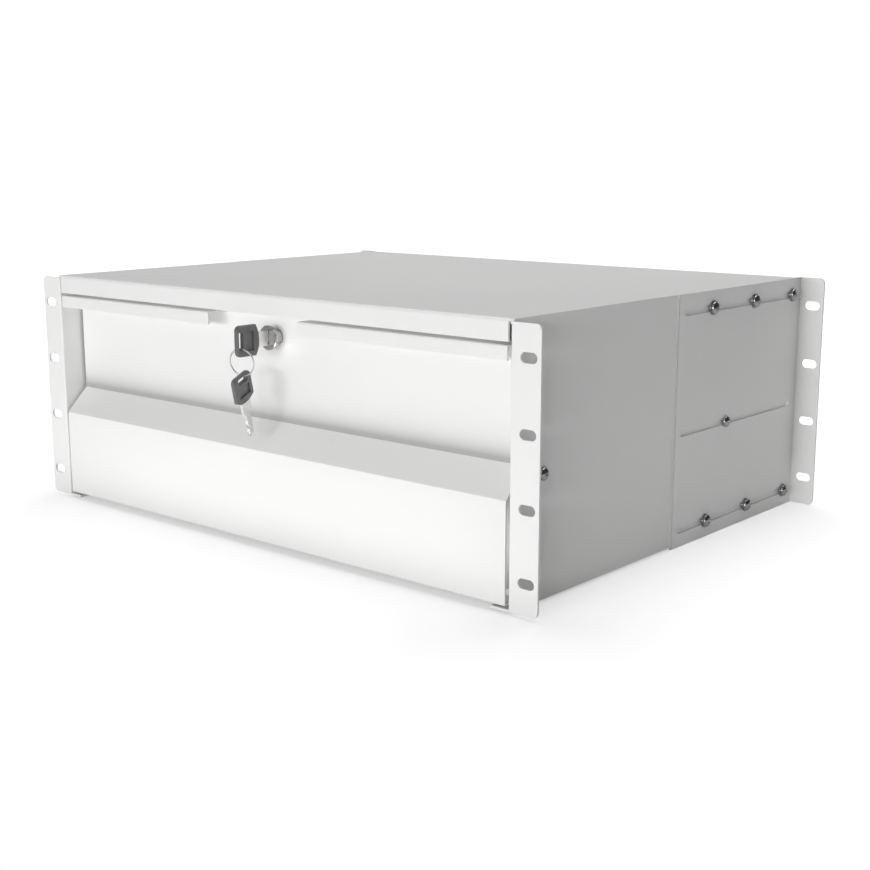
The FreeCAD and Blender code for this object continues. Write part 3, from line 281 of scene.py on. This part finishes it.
# The brackets' coat carries painted shade by the ear fold and on the cut front edge
painted_shade_bracket_coat = powder_coat("powder_coat_bracket_painted_shade", Nodes.painted_fold_and_edge_shade, 0.54)
blade_nickel = nickel("blade_nickel", (0.78, 0.78, 0.77), (0.90, 0.90, 0.88), 0.32, 0.44)
own_finishes = {
    # The drawer front's coat carries painted shade above the ledge's crease
    "drawer_front": powder_coat("powder_coat_front_painted_shade", Nodes.painted_crease_shade),
    "rear_bracket_left": painted_shade_bracket_coat,
    "rear_bracket_right": painted_shade_bracket_coat,
    "key_ring": nickel("ring_wire", (0.80, 0.80, 0.79), (0.90, 0.90, 0.89), 0.26, 0.36),
    "key_blade": blade_nickel,
    "spare_key_blade": blade_nickel,
}
for row in frame["record"]["subparts"]:
    mesh = frame["nodes"][row["node"]].data
    mesh.materials.clear()
    mesh.materials.append(own_finishes.get(row["node"], finishes[row["material_slot"]]))


# Broken edges: the nodes, the width in mm and the least angle in degrees

EDGES = (
    (("top_cover", "drawer_front", "side_panel_left", "side_panel_right"), 0.5, 35.0),
    (("rear_bracket_left", "rear_bracket_right"), 0.6, 35.0),
    (("key_bow", "spare_key_bow"), 0.5, 20.0),
)


def soften(node, width, angle):
    """Breaks the edges of a CAD node by a small bevel, as its real edges are."""
    bevel = frame["nodes"][node].modifiers.new("edge", "BEVEL")
    bevel.width = width
    bevel.segments = 2
    bevel.limit_method = "ANGLE"
    bevel.angle_limit = math.radians(angle)


# Pieces in mesh code

ROUND_STEPS = 48
SAME_PLACE = 1e-7

# A screw's head, as shares of its radius and height
HEAD_FLAT = 0.36
HEAD_FOOT = 0.985
HEAD_RIM = 0.9
DOME_RISE = 0.62
DOME_FULLNESS = 0.9
SOCKET_TAPER = 0.5

# Shank radius, and the cross-shaped socket's half length, half width and depth
PAN_M5 = {"shank": 2.5 * MM, "arm": 1.5 * MM, "width": 0.42 * MM, "depth": 1.4 * MM}
PAN_M4 = {"shank": 2.0 * MM, "arm": 1.35 * MM, "width": 0.4 * MM, "depth": 1.3 * MM}

# The nodes of screws: the body, the head's radius and height in mm, and the rest of the screw
SCREWS = (
    ("bracket_screws_left", "casing", 4.4, 3.0, PAN_M5),
    ("bracket_screws_right", "casing", 4.4, 3.0, PAN_M5),
    ("slide_front_screws", "casing", 4.0, 3.2, PAN_M4),
    ("slide_rear_screws", "casing", 4.0, 3.2, PAN_M4),
    ("slide_drawer_screws_left", "drawer", 3.5, 2.2, PAN_M4),
    ("slide_drawer_screws_right", "drawer", 3.5, 2.2, PAN_M4),
)
BALL_RADIUS = 1.5 * MM


def circle(radius, along):
    """Points of a circle about the Z axis."""
    turns = [2 * math.pi * step / ROUND_STEPS for step in range(ROUND_STEPS)]
    return [Vector((radius * math.cos(turn), radius * math.sin(turn), along)) for turn in turns]


def lathe(bm, profile, matrix):
    """Turns a profile of (distance along the axis, radius) about the matrix's Z axis."""
    rings = []
    for along, radius in profile:
        points = circle(radius, along) if radius else [Vector((0, 0, along))]
        rings.append([bm.verts.new(matrix @ point) for point in points])
    for low, high in zip(rings, rings[1:]):
        for step in range(ROUND_STEPS):
            after = (step + 1) % ROUND_STEPS
            below = [low[step % len(low)], low[after % len(low)]]
            above = [high[after % len(high)], high[step % len(high)]]
            unique = list(dict.fromkeys(below + above))
            if len(unique) > 2:
                bm.faces.new(unique)


def finished_mesh(bm, name, smooth_angle):
    bmesh.ops.recalc_face_normals(bm, faces=bm.faces)
    mesh = bpy.data.meshes.new(name)
    bm.to_mesh(mesh)
    bm.free()
    mesh.shade_smooth()
    mesh.set_sharp_from_angle(angle=math.radians(smooth_angle))
    return mesh


def show_instead(node, bm, name, smooth_angle, body, slot_name):
    """Shows a piece in mesh code in the place of a CAD node."""
    mesh = finished_mesh(bm, name, smooth_angle)
    mesh.materials.append(finishes[slot_name])
    piece = bpy.data.objects.new(name, mesh)
    bpy.context.scene.collection.objects.link(piece)
    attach(piece, body)
    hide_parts(node)


def islands(node):
    """The separate solids of a CAD node, as (low corner, high corner) boxes."""
    bm = bmesh.new()
    bm.from_mesh(frame["nodes"][node].data)
    bmesh.ops.remove_doubles(bm, verts=bm.verts, dist=SAME_PLACE)
    seen = set()
    boxes = []
    for vertex in bm.verts:
        if vertex in seen:
            continue
        group, queue = [], [vertex]
        seen.add(vertex)
        while queue:
            current = queue.pop()
            group.append(current.co.copy())
            for edge in current.link_edges:
                other = edge.other_vert(current)
                if other not in seen:
                    seen.add(other)
                    queue.append(other)
        boxes.append(tuple(Vector(end(p[axis] for p in group) for axis in range(3)) for end in (min, max)))
    bm.free()
    return boxes


def headed_screws(node, body, head, height, screw):
    """Replaces a node of screws by domed heads with a socket cut into each."""
    bm = bmesh.new()
    shank = screw["shank"]
    flat = head * HEAD_FLAT
    dome = []
    for step in range(90, 15, -15):
        rise = (1 - math.cos(math.radians(step))) * height * DOME_RISE
        dome.append((-rise, head * math.sin(math.radians(step)) ** DOME_FULLNESS))
    for low, high in islands(node):
        centre = (low + high) / 2
        side = RIGHT if centre.x > 0 else LEFT
        outward = -side if body == "drawer" else side
        top, tip = (high.x, low.x) if outward > 0 else (low.x, high.x)
        length = abs(top - tip)
        z_axis = Vector((outward, 0, 0))
        x_axis = Vector((0, 1, 0))
        y_axis = z_axis.cross(x_axis)
        turn = Matrix((x_axis, y_axis, z_axis)).transposed().to_4x4()
        matrix = Matrix.Translation((top, centre.y, centre.z)) @ turn
        foot = [(-length, 0), (-length, shank), (-height, shank), (-height, head * HEAD_FOOT)]
        lathe(bm, [*foot, (-height * HEAD_RIM, head), *dome, (0.0, flat)], matrix)
        socket(bm, matrix, flat, screw)
    show_instead(node, bm, f"{node}_headed", 35.0, body, "screw_steel")


def socket(bm, matrix, rim_radius, screw):
    """Closes a head's flat top by a disc with a tapered cross-shaped hole in it."""
    arm, width, depth = screw["arm"], screw["width"], screw["depth"]
    corners = [
        (arm, -width), (arm, width), (width, width), (width, arm), (-width, arm), (-width, width),
        (-arm, width), (-arm, -width), (-width, -width), (-width, -arm), (width, -arm), (width, -width),
    ]
    rim = [bm.verts.new(matrix @ Vector((x, y, 0))) for x, y in corners]
    inner = [Vector((x * SOCKET_TAPER, y * SOCKET_TAPER, -depth)) for x, y in corners]
    floor = [bm.verts.new(matrix @ point) for point in inner]
    for step in range(len(corners)):
        after = (step + 1) % len(corners)
        bm.faces.new([rim[step], rim[after], floor[after], floor[step]])
    bm.faces.new(floor)
    outer = [bm.verts.new(matrix @ point) for point in circle(rim_radius, 0)]
    edges = []
    for loop in (rim, outer):
        for ends in zip(loop, loop[1:] + loop[:1]):
            edges.append(bm.edges.get(ends) or bm.edges.new(ends))
    bmesh.ops.triangle_fill(bm, use_beauty=True, edges=edges)
    bmesh.ops.remove_doubles(bm, verts=bm.verts, dist=SAME_PLACE)


def true_balls(node, body):
    bm = bmesh.new()
    for low, high in islands(node):
        centre = Matrix.Translation((low + high) / 2)
        bmesh.ops.create_icosphere(bm, subdivisions=3, radius=BALL_RADIUS, matrix=centre)
    show_instead(node, bm, f"{node}_round", 180.0, body, "ball_steel")


for nodes, edge_width, edge_angle in EDGES:
    for node in nodes:
        soften(node, edge_width * MM, edge_angle)
for node, body, head, height, screw in SCREWS:
    headed_screws(node, body, head * MM, height * MM, screw)
for side in ("left", "right"):
    for row in ("outer", "inner"):
        true_balls(f"balls_{row}_{side}", f"{row}_cage_{side}")


# Camera

PICTURE_WIDTH = 870.0
FOCAL_LENGTH = 1362.5
SENSOR_WIDTH = 36.0
CAMERA_PLACE = (0.6881, -0.6117, 0.1785)
CAMERA_DROP = 11.590
CAMERA_TURN = 40.651


def add_camera():
    """The photo's camera: its focal length is in pixels of the picture."""
    data = bpy.data.cameras.new("camera")
    data.sensor_width = SENSOR_WIDTH
    data.lens = SENSOR_WIDTH * FOCAL_LENGTH / PICTURE_WIDTH
    data.clip_start = 0.01
    data.clip_end = 30.0
    camera = bpy.data.objects.new("camera", data)
    camera.location = CAMERA_PLACE
    camera.rotation_euler = (math.radians(90.0 - CAMERA_DROP), 0.0, math.radians(CAMERA_TURN))
    bpy.context.scene.collection.objects.link(camera)
    bpy.context.scene.camera = camera


# Light

FAR = 6.0
FLOOR_HALF = 4.0
OVER_FLOOR = 0.004
WORLD_GLOW = 0.075
LIP_GAP = Vector((0.0, 0.010, 0.0830))
LOCK_FOOT = Vector((0.0115, 0.018, 0.0530))
BY_LOCK_FOOT = Vector((0.004, -0.012, -0.003))
IN_DRAWER = Vector((0.0, 0.10, 0.045))
GAPS = (("left_gap", -0.16, 0.012), ("right_gap", 0.16, 0.008))


def around(turn, rise):
    """A far place around the object: turned to the right of its front and risen, in degrees."""
    flat = FAR * math.cos(math.radians(rise))
    across, along = math.sin(math.radians(turn)), -math.cos(math.radians(turn))
    return Vector((flat * across, flat * along, FAR * math.sin(math.radians(rise))))


def area_light(name, place, width, height, power, target=MIDDLE):
    data = bpy.data.lights.new(name, "AREA")
    data.shape = "RECTANGLE"
    data.size = width
    data.size_y = height
    data.energy = power
    light = bpy.data.objects.new(name, data)
    light.location = place
    light.rotation_euler = (target - place).to_track_quat("-Z", "Y").to_euler()
    light.visible_camera = False
    bpy.context.scene.collection.objects.link(light)
    return light


def floor_light(name, ahead, width, depth, power):
    """The paper's own glow in front of the object, as a strip facing up."""
    place = Vector((0.0, ahead, FLOOR_LEVEL + OVER_FLOOR))
    area_light(name, place, width, depth, power, place + Vector((0.0, 0.0, 1.0)))


def in_front_glow(name, place, width, height, power, target):
    """A faint light that moves with the drawer's front, against black gaps."""
    light = area_light(name, place, width, height, power, target)
    light.parent = frame["nodes"]["drawer_front"]


def add_world(strength):
    """White to the camera, and an even dim light on everything else."""
    world = bpy.data.worlds.new("studio")
    bpy.context.scene.world = world
    world.use_nodes = True
    tree = world.node_tree
    tree.nodes.clear()
    paths = tree.nodes.new("ShaderNodeLightPath")
    mix = tree.nodes.new("ShaderNodeMixShader")
    tree.links.new(paths.outputs["Is Camera Ray"], mix.inputs["Fac"])
    for socket, power in ((mix.inputs[1], strength), (mix.inputs[2], 1.0)):
        background = tree.nodes.new("ShaderNodeBackground")
        background.inputs["Color"].default_value = (1.0, 1.0, 1.0, 1.0)
        background.inputs["Strength"].default_value = power
        tree.links.new(background.outputs["Background"], socket)
    output = tree.nodes.new("ShaderNodeOutputWorld")
    tree.links.new(mix.outputs["Shader"], output.inputs["Surface"])


def add_floor(level):
    bm = bmesh.new()
    bmesh.ops.create_grid(bm, x_segments=8, y_segments=8, size=FLOOR_HALF)
    mesh = finished_mesh(bm, "floor", 40.0)
    mesh.materials.append(studio_floor())
    floor = bpy.data.objects.new("floor", mesh)
    floor.location = (0.0, 0.0, level)
    bpy.context.scene.collection.objects.link(floor)


bpy.context.scene.view_settings.view_transform = "Standard"
add_camera()
add_world(WORLD_GLOW)
add_floor(FLOOR_LEVEL)
area_light("front_soft", around(0.0, 5.0), 4.0, 1.0, power=52.0)
area_light("front_right_soft", around(13.0, 5.0), 5.0, 1.0, power=161.0)
area_light("high_soft", around(15.0, 38.0), 3.0, 3.0, power=33.6)
area_light("top_soft", Vector((-0.2, 0.7, 1.8)), 1.8, 1.8, power=28.8)
floor_light("floor_strip", -0.20, 1.6, 0.34, power=0.237)
floor_light("foot_strip", -0.055, 0.44, 0.03, power=0.049)
area_light("lip_gap", LIP_GAP, 0.42, 0.012, 0.0075, LIP_GAP * Vector((0.0, 1.0, 0.0)))
in_front_glow("lock_glow", LOCK_FOOT + BY_LOCK_FOOT, 0.004, 0.004, 0.00025, LOCK_FOOT)
in_front_glow("drawer_soft", IN_DRAWER, 0.3, 0.1, 0.02, IN_DRAWER * Vector((0.0, 1.0, 0.0)))
for name, across, power in GAPS:
    place = Vector((across, 0.004, -0.05))
    in_front_glow(name, place, 0.1, 0.04, power, place + Vector((0.0, 0.1, 0.0)))
